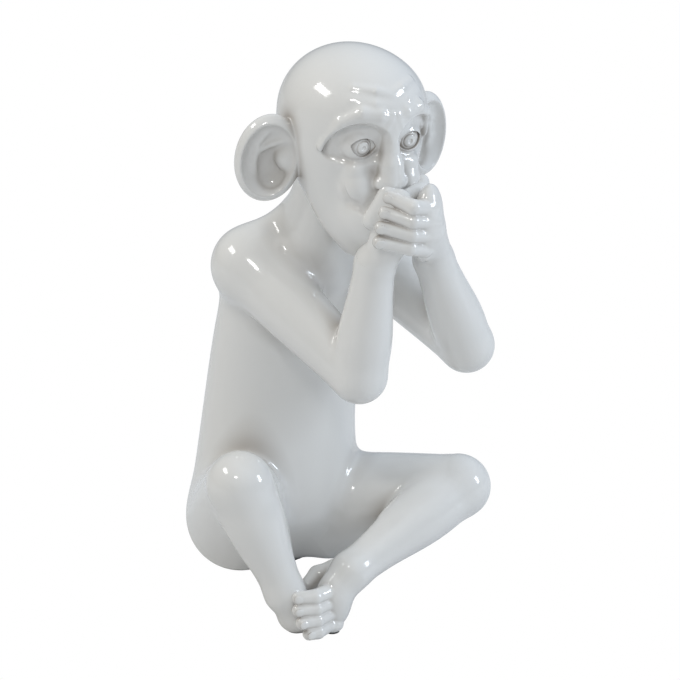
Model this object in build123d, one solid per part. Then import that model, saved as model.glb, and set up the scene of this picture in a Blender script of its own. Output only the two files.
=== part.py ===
from build123d import *
import os

# Seated monkey with both hands laid over its mouth, cast in pieces and lacquered white.
# Millimetres, +Z up, face towards -Y. The figure's own left is +X. The origin is on the floor,
# under the middle of the seat.

# Torso casting
TORSO_HEIGHT = 263
TORSO_WIDTH = 114
TORSO_FRONT = 57
TORSO_BACK = 52
TORSO_LEAN = 78
TORSO_WALL = 17

# Stance, from knee to knee and from the back of the seat to the toes
STANCE_WIDTH = 206
STANCE_DEPTH = 193

# Neck
NECK_LOW_RADIUS = 29
NECK_TOP_RADIUS = 25
NECK_LENGTH = 76
SLOPE_RADIUS = 15

# Head casting
HEAD_HEIGHT = 124
HEAD_WIDTH = 91
HEAD_FRONT = 46
HEAD_BACK = 55
HEAD_SHIFT = 4
HEAD_REACH = 43
HEAD_RISE = 72
HEAD_WALL = 9
MUZZLE_WIDTH = 50
MUZZLE_HEIGHT = 48
MUZZLE_REACH = 22
CHIN_RADIUS = 14
BROW_RADIUS = 5
SOCKET_WIDTH = 27
SOCKET_HEIGHT = 25
SOCKET_DEPTH = 18
EYE_RADIUS = 9
EYE_SPACING = 33
NOSE_RADIUS = 7.5
CHEEK_RADIUS = 13

# Ears
EAR_HEIGHT = 58
EAR_WIDTH = 42
EAR_THICKNESS = 22
EAR_RIM = 4.5
EAR_FLOOR = 6

# Arms
SHOULDER_RADIUS = 24
UPPER_ARM_RADIUS = 22
ELBOW_RADIUS = 18
FOREARM_RADIUS = 17.5
WRIST_RADIUS = 12.5
SHOULDER_SEAT = 9
WRIST_SEAT = 4

# Hands
PALM_LENGTH = 50
PALM_WIDTH = 27
PALM_THICKNESS = 19
FINGER_RADIUS = 5
FINGER_PITCH = 8.8
THUMB_RADIUS = 5.5

# Legs
THIGH_ROOT_RADIUS = 37
THIGH_RADIUS = 30
KNEE_RADIUS = 21.5
CALF_RADIUS = 20
CALF_LENGTH = 58
ANKLE_RADIUS = 13
HIP_SEAT = 34
ANKLE_SEAT = 14

# Feet
FOOT_LENGTH = 45
SOLE_WIDTH = 22
SOLE_HEIGHT = 36
HEEL_RADIUS = 13
INSTEP_RADIUS = 9.5
TOE_RADIUS = 5
TOE_PITCH = 7.8
BIG_TOE_RADIUS = 6.5
TUCKED_TOE_RADIUS = 4
TUCKED_TOE_PITCH = 6.5

# Pins glued into drilled holes across the joints, and the sleeve in the neck
LARGE_PIN_RADIUS = 4
LARGE_PIN_LENGTH = 26
SMALL_PIN_RADIUS = 2
SMALL_PIN_LENGTH = 12
PIN_CLEARANCE = 0.15
SLEEVE_RADIUS = 9
SLEEVE_WALL = 1.5
SLEEVE_LENGTH = 36
HEAD_BORE_LENGTH = 44

# Felt under the figure and the plate that closes the seat
FELT_THICKNESS = 1.2
FELT_INSET = 0.6
PLATE_THICKNESS = 3
PLATE_CLEARANCE = 0.2
PLATE_MARGIN = 9

# Shared fits
CONTACT_GAP = 0.2
OVERRUN = 80

# Turns in degrees
HEAD_TURN = 5
HEAD_NOD = 6
HAND_TURN = 13
PALM_TURN = {"right": -24, "left": 34}
PALM_ROLL = {"right": 8, "left": 0}
EAR_TURN = 24
EAR_ROLL = 8
EAR_SEAT_TILT = 12
TUCKED_FOOT_TURN = 33

# Torso sections from the seat up: height, centre across and centre back as shares of the
# torso's height, width and lean, then half width, front and back as shares of theirs
TORSO_SECTION_SHARES = [
    (0.000, 0, 0, 0.33, 0.53, 0.58),
    (0.030, -0.01, -0.05, 0.4, 0.70, 0.74),
    (0.080, -0.02, -0.14, 0.46, 0.88, 0.90),
    (0.155, -0.03, -0.26, 0.5, 1.00, 0.98),
    (0.280, -0.048, -0.41, 0.508, 0.88, 0.97),
    (0.435, -0.054, -0.51, 0.489, 0.72, 0.92),
    (0.585, -0.032, -0.6, 0.467, 0.65, 0.86),
    (0.740, -0.005, -0.71, 0.47, 0.60, 0.76),
    (0.850, 0.02, -0.8, 0.44, 0.53, 0.62),
    (0.940, 0.04, -0.92, 0.32, 0.46, 0.50),
    (1.000, 0.05, -1, 0.19, 0.35, 0.35),
]
CORE_TOP_SHARE = 0.6

# Head sections from the chin up: height and centre forward, then half width, front and back
HEAD_SECTION_SHARES = [
    (-0.580, 0.52, 0.16, 0.35, 0.25),
    (-0.485, 0.46, 0.27, 0.52, 0.40),
    (-0.363, 0.33, 0.35, 0.65, 0.58),
    (-0.226, 0.17, 0.42, 0.78, 0.80),
    (-0.080, 0.04, 0.475, 0.92, 0.95),
    (0.080, -0.04, 0.500, 1.00, 1.00),
    (0.226, -0.07, 0.460, 0.92, 0.88),
    (0.340, -0.09, 0.335, 0.68, 0.64),
    (0.400, -0.10, 0.180, 0.36, 0.36),
]

# Places on the torso as shares of its width, lean and height
TORSO_TOP_SHARE = (0.05, -1, 1.00)
NECK_ROOT_SHARE = (0.04, -0.94, 0.905)
SHOULDER_SHARES = {"right": (-0.34, -0.9, 0.893), "left": (0.425, -0.82, 0.878)}
HIP_SHARES = {"right": (-0.305, -0.49, 0.17), "left": (0.26, -0.54, 0.163)}

# Places of the bent limbs as shares of the stance's width and depth and the torso's height
ELBOW_SHARES = {"right": (-0.002, -0.798, 0.69), "left": (0.386, -0.763, 0.714)}
KNEE_SHARES = {"right": (-0.313, -0.56, 0.383), "left": (0.478, -0.539, 0.262)}
ANKLE_SHARES = {"right": (-0.197, -0.653, 0.102), "left": (0.017, -0.695, 0.14)}

# Places on the head as shares of its width, front and height
SKULL_SHARE = (0, 0.065, 0.177)
SKULL_SIZE_SHARES = (0.462, 1.02, 0.25)
MUZZLE_SHARE = (0, 0.826, -0.339)
CHIN_SHARE = (0, 0.61, -0.50)
NOSE_SHARES = [(0, 0.96, 0.11), (0, 1.09, -0.06), (0, 1.16, -0.17)]
BROW_SHARES = [(0.04, 1.06, 0.13), (0.16, 1.02, 0.15), (0.28, 0.84, 0.10), (0.36, 0.60, -0.06)]
SOCKET_SHARE = (0.195, 1.10, 0.02)
EYE_FORWARD_SHARE = 0.80
EYE_UP_SHARE = 0.03
CHEEK_SHARE = (0.17, 0.74, -0.19)
EAR_SHARE = (0.615, -0.087, -0.113)
EAR_SEAT_SHARE = (0.46, -0.05, -0.113)

# Places in the frame of the hands as shares of the head's width, front and height
WRIST_SHARES = {"right": (-0.155, 0.93, -0.645), "left": (0.305, 1.02, -0.685)}
PALM_SHARES = {"right": (-0.10, 1.24, -0.363), "left": (0.12, 1.43, -0.345)}
LEFT_FINGER_ROOT_SHARES = [(0.11, 1.52), (0.13, 1.56), (0.12, 1.56), (0.08, 1.52)]
LEFT_FINGER_BEND_SHARES = [(-0.065, 1.56), (-0.065, 1.57), (-0.065, 1.57), (-0.065, 1.56)]
LEFT_FINGER_TIP_SHARES = [(-0.143, 1.24), (-0.187, 1.27), (-0.225, 1.30), (-0.242, 1.33)]
RIGHT_FINGER_SHARES = [(-0.06, 1.28), (0.20, 1.10)]
THUMB_SHARES = {
    "right": [(-0.23, 1.10, -0.33), (-0.13, 1.15, -0.185)],
    "left": [(0.15, 1.26, -0.26), (0.23, 1.00, -0.20)],
}
FINGER_TOP_SHARE = -0.22

# Places of the left foot about its ankle, as shares of the foot's length
SOLE_SHARE = (-0.29, -0.05)
SOLE_LIFT_SHARE = 0.56
TOE_ROOT_SHARE = (-0.36, -0.11)
TOE_BEND_SHARES = [(-0.67, -0.22), (-0.67, -0.25), (-0.67, -0.27), (-0.65, -0.30)]
TOE_TIP_SHARES = [(-0.93, -0.15), (-0.94, -0.20), (-0.92, -0.28), (-0.81, -0.31)]
BIG_TOE_SHARES = [(-0.07, 0.13, -0.09), (-0.07, 0.42, -0.13), (-0.29, 0.53, -0.23), (-0.48, 0.46, -0.32)]

# Places of the tucked right foot along and across its length, from its heel
HEEL_SHARE = (0.18, -0.02)
SOLE_SINK_SHARE = 0.8
TUCKED_BALL_SHARE = 0.62
TUCKED_BALL_SIZE_SHARES = (0.30, 0.25, 0.17)
TUCKED_TIP_SHARE = 0.98
TUCKED_BIG_TOE_SHARES = [(0.55, 0.20), (0.80, 0.42)]
TOE_PAD_SHARE = (0.89, -0.18)

SIDES = {"right": -1, "left": 1}


def turned(yaw, pitch=0, roll=0):
    """Turn about the upright, then the side-to-side, then the fore-and-aft direction."""
    return Rot(0, 0, yaw) * Rot(pitch, 0, 0) * Rot(0, roll, 0)


def torso_place(share):
    """Point on the torso from its shares."""
    across, back, up = share
    return Vector(across * TORSO_WIDTH, back * TORSO_LEAN, FELT_THICKNESS + up * TORSO_HEIGHT)


def stance_place(share):
    """Point of a bent limb from its shares."""
    across, back, up = share
    return Vector(across * STANCE_WIDTH, back * STANCE_DEPTH, FELT_THICKNESS + up * TORSO_HEIGHT)


TORSO_TOP = torso_place(TORSO_TOP_SHARE)
NECK_ROOT = torso_place(NECK_ROOT_SHARE)
HEAD_CENTRE = TORSO_TOP + Vector(HEAD_SHIFT, -HEAD_REACH, HEAD_RISE)
HEAD_FRAME = Pos(*HEAD_CENTRE) * turned(HEAD_TURN, HEAD_NOD)
HAND_FRAME = Pos(*HEAD_CENTRE) * turned(HAND_TURN, HEAD_NOD)
SHOULDER = {side: torso_place(SHOULDER_SHARES[side]) for side in SIDES}
HIP = {side: torso_place(HIP_SHARES[side]) for side in SIDES}
ELBOW = {side: stance_place(ELBOW_SHARES[side]) for side in SIDES}
KNEE = {side: stance_place(KNEE_SHARES[side]) for side in SIDES}
ANKLE = {side: stance_place(ANKLE_SHARES[side]) for side in SIDES}


def head_spot(share, frame=HEAD_FRAME):
    """Location square to the head at a place on it."""
    across, forward, up = share
    return frame * Pos(across * HEAD_WIDTH, -forward * HEAD_FRONT, up * HEAD_HEIGHT)


def head_point(share, frame=HEAD_FRAME):
    """Point at a place on the head."""
    return head_spot(share, frame).position


WRIST = {side: head_point(WRIST_SHARES[side], HAND_FRAME) for side in SIDES}
PALM = {side: head_point(PALM_SHARES[side], HAND_FRAME) for side in SIDES}


def seat_between(start, end, distance):
    """Plane across a limb at a distance from its start, facing its far end."""
    step = (end - start).normalized()
    return Plane(origin=start + step * distance, z_dir=step)


NECK_PLANE = seat_between(NECK_ROOT, HEAD_CENTRE, NECK_LENGTH)
SHOULDER_PLANE = {side: seat_between(SHOULDER[side], ELBOW[side], SHOULDER_SEAT) for side in SIDES}
HIP_PLANE = {side: seat_between(HIP[side], KNEE[side], HIP_SEAT) for side in SIDES}
WRIST_PLANE = {
    side: seat_between(ELBOW[side], WRIST[side], (WRIST[side] - ELBOW[side]).length - WRIST_SEAT)
    for side in SIDES
}
ANKLE_PLANE = {
    side: seat_between(KNEE[side], ANKLE[side], (ANKLE[side] - KNEE[side]).length - ANKLE_SEAT)
    for side in SIDES
}
EAR_SPOT = {
    side: head_spot((sign * EAR_SEAT_SHARE[0], EAR_SEAT_SHARE[1], EAR_SEAT_SHARE[2]))
    for side, sign in SIDES.items()
}
EAR_PLANE = {side: Plane(EAR_SPOT[side] * Rot(0, SIDES[side] * (90 + EAR_SEAT_TILT), 0)) for side in SIDES}


def egg(radii):
    """Ellipsoid about the origin."""
    return scale(Sphere(1), by=tuple(radii))


def joined(pieces):
    """One solid from pieces that run into each other."""
    return pieces[0].fuse(*pieces[1:])


def bar(start, end, radii):
    """Round bar that swells and tapers evenly through its radii, with round ends."""
    length = (end - start).length
    steps = len(radii) - 1
    side = [(radius, length * step / steps) for step, radius in enumerate(radii)]
    outline = [
        CenterArc((0, 0), radii[0], 270, 90),
        Spline(*side, tangents=((0, 1), (0, 1))),
        CenterArc((0, length), radii[-1], 0, 90),
        Line((0, length + radii[-1]), (0, -radii[0])),
    ]
    body = revolve(Plane.XZ * make_face(outline), Axis.Z)
    return Plane(origin=start, z_dir=end - start) * body


def bars(points, radii):
    """Round bars from each point to the next, such as a bent finger."""
    pairs = zip(points, points[1:], radii, radii[1:])
    return [bar(start, end, (first, last)) for start, end, first, last in pairs]


def beyond(solid, plane):
    """Part of a solid on the far side of a plane."""
    return split(solid, bisect_by=plane, keep=Keep.TOP)


def behind(solid, plane):
    """Part of a solid on the near side of a plane."""
    return split(solid, bisect_by=plane, keep=Keep.BOTTOM)


def grown(radii, grow):
    """Radii enlarged by a fit."""
    return [radius + grow for radius in radii]


def level_outline(half_width, front, back):
    """Level outline of half an ellipse towards the face and half towards the back."""
    arcs = [
        EllipticalCenterArc((0, 0), half_width, front, 270, arc_size=90),
        EllipticalCenterArc((0, 0), half_width, back, 0, arc_size=90),
        EllipticalCenterArc((0, 0), half_width, back, 90, arc_size=90),
        EllipticalCenterArc((0, 0), half_width, front, 180, arc_size=90),
    ]
    return make_face(arcs)


def torso_outline(row, inset):
    """Level section of the torso, drawn in by an inset and set at its place."""
    up, across, back, width_share, front_share, back_share = row
    outline = level_outline(
        width_share * TORSO_WIDTH - inset,
        front_share * TORSO_FRONT - inset,
        back_share * TORSO_BACK - inset,
    )
    return Pos(*torso_place((across, back, up))) * outline


def neck(grow=0):
    """Neck from the chest to its flat seat inside the head."""
    radii = grown((NECK_LOW_RADIUS, NECK_TOP_RADIUS, NECK_TOP_RADIUS), grow)
    return behind(bar(NECK_ROOT, HEAD_CENTRE, radii), NECK_PLANE)


def upper_arm(side, grow=0):
    """Upper arm, whole, from inside the shoulder to the elbow."""
    radii = grown((UPPER_ARM_RADIUS, UPPER_ARM_RADIUS, ELBOW_RADIUS), grow)
    return bar(SHOULDER[side], ELBOW[side], radii)


def thigh(side, grow=0):
    """Thigh, whole, from inside the hip to the knee."""
    radii = grown((THIGH_ROOT_RADIUS, THIGH_RADIUS, KNEE_RADIUS), grow)
    return bar(HIP[side], KNEE[side], radii)


def shank(side, grow=0):
    """Shank, whole, from the knee to the ankle."""
    narrow = (CALF_RADIUS + ANKLE_RADIUS) / 2
    radii = grown((CALF_RADIUS, CALF_RADIUS, narrow, ANKLE_RADIUS), grow)
    return bar(KNEE[side], ANKLE[side], radii)


def head_form(grow=0):
    """Outer form of skull, jaw and muzzle."""
    sections = []
    for up, forward, width_share, front_share, back_share in HEAD_SECTION_SHARES:
        outline = level_outline(
            width_share * HEAD_WIDTH + grow,
            front_share * HEAD_FRONT + grow,
            back_share * HEAD_BACK + grow,
        )
        sections.append(Pos(0, -forward * HEAD_FRONT, up * HEAD_HEIGHT) * outline)
    skull_sizes = (HEAD_WIDTH, HEAD_FRONT, HEAD_HEIGHT)
    skull = [share * size for share, size in zip(SKULL_SIZE_SHARES, skull_sizes)]
    muzzle = (MUZZLE_WIDTH / 2, MUZZLE_REACH, MUZZLE_HEIGHT / 2)
    return joined([
        HEAD_FRAME * loft(sections),
        head_spot(SKULL_SHARE) * egg(grown(skull, grow)),
        head_spot(MUZZLE_SHARE) * egg(grown(muzzle, grow)),
        head_spot(CHIN_SHARE) * Sphere(CHIN_RADIUS + grow),
    ])


def pins(planes, radius, length):
    """Pins centred on seat planes and square to them."""
    return Compound(children=[plane * Cylinder(radius, length) for plane in planes])


def drilled(solid, planes, radius, length):
    """Solid with a hole for the pin at each seat plane."""
    for plane in planes:
        solid -= plane * Cylinder(radius + PIN_CLEARANCE, length + 2 * PIN_CLEARANCE)
    return solid


def torso_shell():
    """Hollow torso casting with its neck, shoulders and the stubs of its hips."""
    rows = TORSO_SECTION_SHARES
    body = [loft([torso_outline(row, 0) for row in rows]), neck()]
    for side in SIDES:
        body.append(Pos(*SHOULDER[side]) * Sphere(SHOULDER_RADIUS))
        body.append(bar(SHOULDER[side], NECK_ROOT, (SLOPE_RADIUS, SLOPE_RADIUS)))
        body.append(behind(thigh(side), HIP_PLANE[side]))
    shell = joined(body)
    shell -= loft([torso_outline(row, TORSO_WALL) for row in rows if row[0] < CORE_TOP_SHARE])
    for side in SIDES:
        shell -= beyond(upper_arm(side, CONTACT_GAP), SHOULDER_PLANE[side])
        shell -= beyond(thigh(side, CONTACT_GAP), HIP_PLANE[side])
    shell -= extrude(torso_outline(rows[0], PLATE_MARGIN - PLATE_CLEARANCE), PLATE_THICKNESS)
    shell -= Pos(0, 0, FELT_THICKNESS) * Box(
        STANCE_WIDTH, STANCE_DEPTH, OVERRUN, align=(Align.CENTER, Align.CENTER, Align.MAX)
    )
    shell = drilled(shell, [SHOULDER_PLANE[side] for side in SIDES], LARGE_PIN_RADIUS, LARGE_PIN_LENGTH)
    shell = drilled(shell, [HIP_PLANE[side] for side in SIDES], LARGE_PIN_RADIUS, LARGE_PIN_LENGTH)
    return drilled(shell, [NECK_PLANE], SLEEVE_RADIUS, SLEEVE_LENGTH)


def raised_face(grow=0):
    """Nose and cheeks, the raised forms that the hands lie against."""
    across, forward, up = CHEEK_SHARE
    raised = bars([head_point(share) for share in NOSE_SHARES], grown([NOSE_RADIUS] * 3, grow))
    for sign in SIDES.values():
        raised.append(head_spot((sign * across, forward, up)) * Sphere(CHEEK_RADIUS + grow))
    return raised


def face(head):
    """Head with its eye sockets sunk and its eyes, brows, cheeks and nose raised."""
    raised = raised_face()
    for sign in SIDES.values():
        socket = egg((SOCKET_WIDTH / 2, SOCKET_DEPTH / 2, SOCKET_HEIGHT / 2))
        head -= head_spot((sign * SOCKET_SHARE[0], SOCKET_SHARE[1], SOCKET_SHARE[2])) * socket
        brow = [head_point((sign * share[0], share[1], share[2])) for share in BROW_SHARES]
        raised += bars(brow, [BROW_RADIUS] * len(brow))
        eye = (sign * EYE_SPACING / HEAD_WIDTH / 2, EYE_FORWARD_SHARE, EYE_UP_SHARE)
        raised.append(head_spot(eye) * Sphere(EYE_RADIUS))
    return head.fuse(*raised)


def head_shell():
    """Hollow head casting with flat seats for the ears and a socket for the neck."""
    shell = face(head_form()) - neck(CONTACT_GAP)
    for plane in EAR_PLANE.values():
        seat = Cylinder(EAR_HEIGHT / 2, EAR_THICKNESS, align=(Align.CENTER, Align.CENTER, Align.MIN))
        shell -= plane * seat
    core_sizes = (HEAD_WIDTH, HEAD_FRONT, HEAD_HEIGHT)
    core = [share * size - HEAD_WALL for share, size in zip(SKULL_SIZE_SHARES, core_sizes)]
    shell -= head_spot(SKULL_SHARE) * egg(core)
    shell -= NECK_PLANE * Cylinder(
        SLEEVE_RADIUS + PIN_CLEARANCE, HEAD_BORE_LENGTH, align=(Align.CENTER, Align.CENTER, Align.MIN)
    )
    return drilled(shell, list(EAR_PLANE.values()), SMALL_PIN_RADIUS, SMALL_PIN_LENGTH)


def ear(side):
    """Bowl-shaped ear with a rolled rim, flat where it meets the head."""
    across, forward, up = EAR_SHARE
    spot = head_spot((-across, forward, up)) * turned(-EAR_TURN, 0, EAR_ROLL)
    bowl = egg((EAR_WIDTH / 2, EAR_THICKNESS / 2, EAR_HEIGHT / 2))
    hollow = egg((EAR_WIDTH / 2 - EAR_RIM, EAR_THICKNESS - EAR_FLOOR, EAR_HEIGHT / 2 - EAR_RIM))
    bowl -= Pos(0, -EAR_THICKNESS / 2, 0) * hollow
    body = beyond(spot * bowl, EAR_PLANE["right"])
    if side == "left":
        body = mirror(body, about=Plane(HEAD_FRAME * Rot(0, 90, 0)))
    return drilled(body, [EAR_PLANE[side]], SMALL_PIN_RADIUS, SMALL_PIN_LENGTH)


def arm(side, keep_clear):
    """Upper arm and forearm in one bent casting, flat at the shoulder and the wrist."""
    upper = beyond(upper_arm(side), SHOULDER_PLANE[side])
    radii = (FOREARM_RADIUS, FOREARM_RADIUS, WRIST_RADIUS)
    lower = behind(bar(ELBOW[side], WRIST[side], radii), WRIST_PLANE[side])
    body = upper.fuse(lower) - keep_clear
    body = drilled(body, [SHOULDER_PLANE[side]], LARGE_PIN_RADIUS, LARGE_PIN_LENGTH)
    return drilled(body, [WRIST_PLANE[side]], SMALL_PIN_RADIUS, SMALL_PIN_LENGTH)


def palm(side, grow=0):
    """Palm and the root of the hand, drawn out of the wrist."""
    across, forward, up = PALM_SHARES[side]
    radii = grown((PALM_WIDTH / 2, PALM_THICKNESS / 2, PALM_LENGTH / 2), grow)
    form = head_spot((across, forward, up), HAND_FRAME)
    form *= turned(PALM_TURN[side], 0, PALM_ROLL[side]) * egg(radii)
    root_radii = grown((WRIST_RADIUS, PALM_THICKNESS / 2), grow)
    root = bar(WRIST_PLANE[side].origin, PALM[side], root_radii)
    return [form, root]


def finger_height(index):
    """Height of a finger of either hand as a share of the head's height."""
    return FINGER_TOP_SHARE - index * FINGER_PITCH / HEAD_HEIGHT


def right_fingers(grow=0):
    """Four straight fingers laid across the mouth under the left hand."""
    fingers = []
    for index in range(4):
        points = [head_point((*share, finger_height(index)), HAND_FRAME) for share in RIGHT_FINGER_SHARES]
        fingers += bars(points, grown([FINGER_RADIUS] * len(points), grow))
    return fingers


def left_fingers():
    """Four fingers bent over the back of the right hand."""
    fingers = []
    for index in range(4):
        shares = (
            LEFT_FINGER_ROOT_SHARES[index],
            LEFT_FINGER_BEND_SHARES[index],
            LEFT_FINGER_TIP_SHARES[index],
        )
        points = [head_point((*share, finger_height(index)), HAND_FRAME) for share in shares]
        fingers += bars(points, [FINGER_RADIUS] * len(points))
    return fingers


def thumb(side, grow=0):
    """Thumb laid along the face."""
    points = [head_point(share, HAND_FRAME) for share in THUMB_SHARES[side]]
    return bars(points, grown([THUMB_RADIUS] * len(points), grow))


def hand(side, digits, keep_clear):
    """Hand with its fingers and thumb, flat at the wrist."""
    body = joined(palm(side) + digits)
    for solid in keep_clear:
        body -= solid
    body = beyond(body, WRIST_PLANE[side])
    return drilled(body, [WRIST_PLANE[side]], SMALL_PIN_RADIUS, SMALL_PIN_LENGTH)


def leg(side):
    """Thigh, knee and shank in one bent casting, flat at the hip and the ankle."""
    calf_place = (KNEE[side] + ANKLE[side]) * 0.5
    calf = Plane(origin=calf_place, z_dir=ANKLE[side] - KNEE[side]) * egg(
        (ANKLE_RADIUS, ANKLE_RADIUS, CALF_LENGTH / 2)
    )
    upper = beyond(thigh(side), HIP_PLANE[side])
    body = upper.fuse(*[behind(form, ANKLE_PLANE[side]) for form in (shank(side), calf)])
    body = drilled(body, [HIP_PLANE[side]], LARGE_PIN_RADIUS, LARGE_PIN_LENGTH)
    return drilled(body, [ANKLE_PLANE[side]], SMALL_PIN_RADIUS, SMALL_PIN_LENGTH)


def on_felt(point, height):
    """The same place at a height above the felt."""
    return Vector(point.X, point.Y, FELT_THICKNESS + height)


def sole_place(share, height):
    """Point of the left foot about its ankle, at a height above the felt."""
    across, back = share
    offset = Vector(across * FOOT_LENGTH, back * FOOT_LENGTH, 0)
    return on_felt(ANKLE["left"] + offset, height)


def tucked_place(along, across, height):
    """Point of the right foot along and across it, at a height above the felt."""
    heel = ANKLE["right"] + Vector(HEEL_SHARE[0] * FOOT_LENGTH, HEEL_SHARE[1] * FOOT_LENGTH, 0)
    offset = Vector(along * FOOT_LENGTH, across * FOOT_LENGTH, 0).rotate(Axis.Z, TUCKED_FOOT_TURN)
    return on_felt(heel + offset, height)


HEEL_PLACE = tucked_place(0, 0, SOLE_SINK_SHARE * HEEL_RADIUS)
BALL_HEIGHT = SOLE_SINK_SHARE * TUCKED_BALL_SIZE_SHARES[2] * FOOT_LENGTH
BALL_PLACE = tucked_place(TUCKED_BALL_SHARE, 0, BALL_HEIGHT)


def right_foot_form(grow=0):
    """Heel and ball of the right foot, the forms that the left foot closes round."""
    ball_sizes = [share * FOOT_LENGTH for share in TUCKED_BALL_SIZE_SHARES]
    ball = Rot(0, 0, TUCKED_FOOT_TURN) * egg(grown(ball_sizes, grow))
    return [Pos(*HEEL_PLACE) * Sphere(HEEL_RADIUS + grow), Pos(*BALL_PLACE) * ball]


def shank_end(side, grow=0):
    """Stub of the shank that the foot casting carries."""
    return beyond(shank(side, grow), ANKLE_PLANE[side])


def right_foot():
    """Foot flat on its felt, tucked behind the other, with its toes side by side."""
    height = TUCKED_TOE_RADIUS + CONTACT_GAP
    pieces = [shank_end("right")] + right_foot_form()
    pieces.append(bar(HEEL_PLACE, BALL_PLACE, (INSTEP_RADIUS, BALL_HEIGHT)))
    for index in range(4):
        across = (1 - index) * TUCKED_TOE_PITCH / FOOT_LENGTH
        root = tucked_place(TUCKED_BALL_SHARE, across, height)
        tip = tucked_place(TUCKED_TIP_SHARE - abs(across) / 2, across, height)
        pieces.append(bar(root, tip, (TUCKED_TOE_RADIUS, TUCKED_TOE_RADIUS)))
    big_toe = [tucked_place(*share, height) for share in TUCKED_BIG_TOE_SHARES]
    pieces += bars(big_toe, [TUCKED_TOE_RADIUS] * len(big_toe))
    body = joined(pieces) - Pos(0, 0, FELT_THICKNESS) * Box(
        STANCE_WIDTH, STANCE_DEPTH * 2, OVERRUN, align=(Align.CENTER, Align.CENTER, Align.MAX)
    )
    return drilled(body, [ANKLE_PLANE["right"]], SMALL_PIN_RADIUS, SMALL_PIN_LENGTH)


def left_foot():
    """Foot on its edge that clasps the right ankle between its big toe and its other toes."""
    sole_point = sole_place(SOLE_SHARE, SOLE_LIFT_SHARE * SOLE_HEIGHT)
    pieces = [
        shank_end("left"),
        Pos(*sole_point) * egg((SOLE_WIDTH / 2, SOLE_WIDTH / 2, SOLE_HEIGHT / 2)),
        bar(ANKLE["left"], sole_point, (ANKLE_RADIUS, SOLE_WIDTH / 2)),
    ]
    for index in range(4):
        height = TOE_RADIUS + CONTACT_GAP + (3 - index) * TOE_PITCH
        points = [
            sole_place(TOE_ROOT_SHARE, height),
            sole_place(TOE_BEND_SHARES[index], height),
            sole_place(TOE_TIP_SHARES[index], height),
        ]
        pieces += bars(points, [TOE_RADIUS] * len(points))
    big_toe = [
        ANKLE["left"] + Vector(across, back, up) * FOOT_LENGTH for across, back, up in BIG_TOE_SHARES
    ]
    pieces += bars(big_toe, [BIG_TOE_RADIUS] * len(big_toe))
    body = joined(pieces)
    for solid in [shank("right", CONTACT_GAP)] + right_foot_form(CONTACT_GAP):
        body -= solid
    return drilled(body, [ANKLE_PLANE["left"]], SMALL_PIN_RADIUS, SMALL_PIN_LENGTH)


def base_plate():
    """Plate glued into the open seat of the torso."""
    outline = torso_outline(TORSO_SECTION_SHARES[0], PLATE_MARGIN)
    return extrude(outline, PLATE_THICKNESS)


def base_felt():
    """Felt glued under the seat."""
    return extrude(torso_outline(TORSO_SECTION_SHARES[0], FELT_INSET), -FELT_THICKNESS)


def foot_felts():
    """Felt glued under the heel and the toes of the right foot and under the edge of the left one."""
    toe_pad_radius = TUCKED_BALL_SIZE_SHARES[1] * FOOT_LENGTH / 2
    pads = [
        (tucked_place(0, 0, 0), HEEL_RADIUS / 2),
        (tucked_place(*TOE_PAD_SHARE, 0), toe_pad_radius),
        (sole_place(TOE_ROOT_SHARE, 0), TOE_RADIUS),
    ]
    return Compound(children=[
        Pos(*place) * Cylinder(radius, FELT_THICKNESS, align=(Align.CENTER, Align.CENTER, Align.MAX))
        for place, radius in pads
    ])


def neck_sleeve():
    """Tube across the neck's seat, with the head's bore above it."""
    tube = Cylinder(SLEEVE_RADIUS, SLEEVE_LENGTH) - Cylinder(SLEEVE_RADIUS - SLEEVE_WALL, SLEEVE_LENGTH)
    return NECK_PLANE * tube


HEAD_CLEAR = head_form(CONTACT_GAP)
FACE_CLEAR = [HEAD_CLEAR] + raised_face(CONTACT_GAP)

NODES = {
    "torso_shell": torso_shell(),
    "head_shell": head_shell(),
    "right_ear": ear("right"),
    "left_ear": ear("left"),
    "right_arm": arm("right", HEAD_CLEAR),
    "left_arm": arm("left", HEAD_CLEAR),
    "right_hand": hand("right", right_fingers() + thumb("right"), FACE_CLEAR),
    "left_hand": hand(
        "left",
        left_fingers() + thumb("left"),
        FACE_CLEAR + palm("right", CONTACT_GAP) + right_fingers(CONTACT_GAP) + thumb("right", CONTACT_GAP),
    ),
    "right_leg": leg("right"),
    "left_leg": leg("left"),
    "right_foot": right_foot(),
    "left_foot": left_foot(),
    "base_plate": base_plate(),
    "base_felt": base_felt(),
    "foot_felts": foot_felts(),
    "neck_sleeve": neck_sleeve(),
    "shoulder_pins": pins(SHOULDER_PLANE.values(), LARGE_PIN_RADIUS, LARGE_PIN_LENGTH),
    "hip_pins": pins(HIP_PLANE.values(), LARGE_PIN_RADIUS, LARGE_PIN_LENGTH),
    "wrist_pins": pins(WRIST_PLANE.values(), SMALL_PIN_RADIUS, SMALL_PIN_LENGTH),
    "ankle_pins": pins(ANKLE_PLANE.values(), SMALL_PIN_RADIUS, SMALL_PIN_LENGTH),
    "ear_pins": pins(EAR_PLANE.values(), SMALL_PIN_RADIUS, SMALL_PIN_LENGTH),
}

os.makedirs("parts", exist_ok=True)
for name, shape in NODES.items():
    export_step(shape, f"parts/{name}.step")
    print(name, len(shape.solids()), "solids", round(shape.volume))
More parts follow.
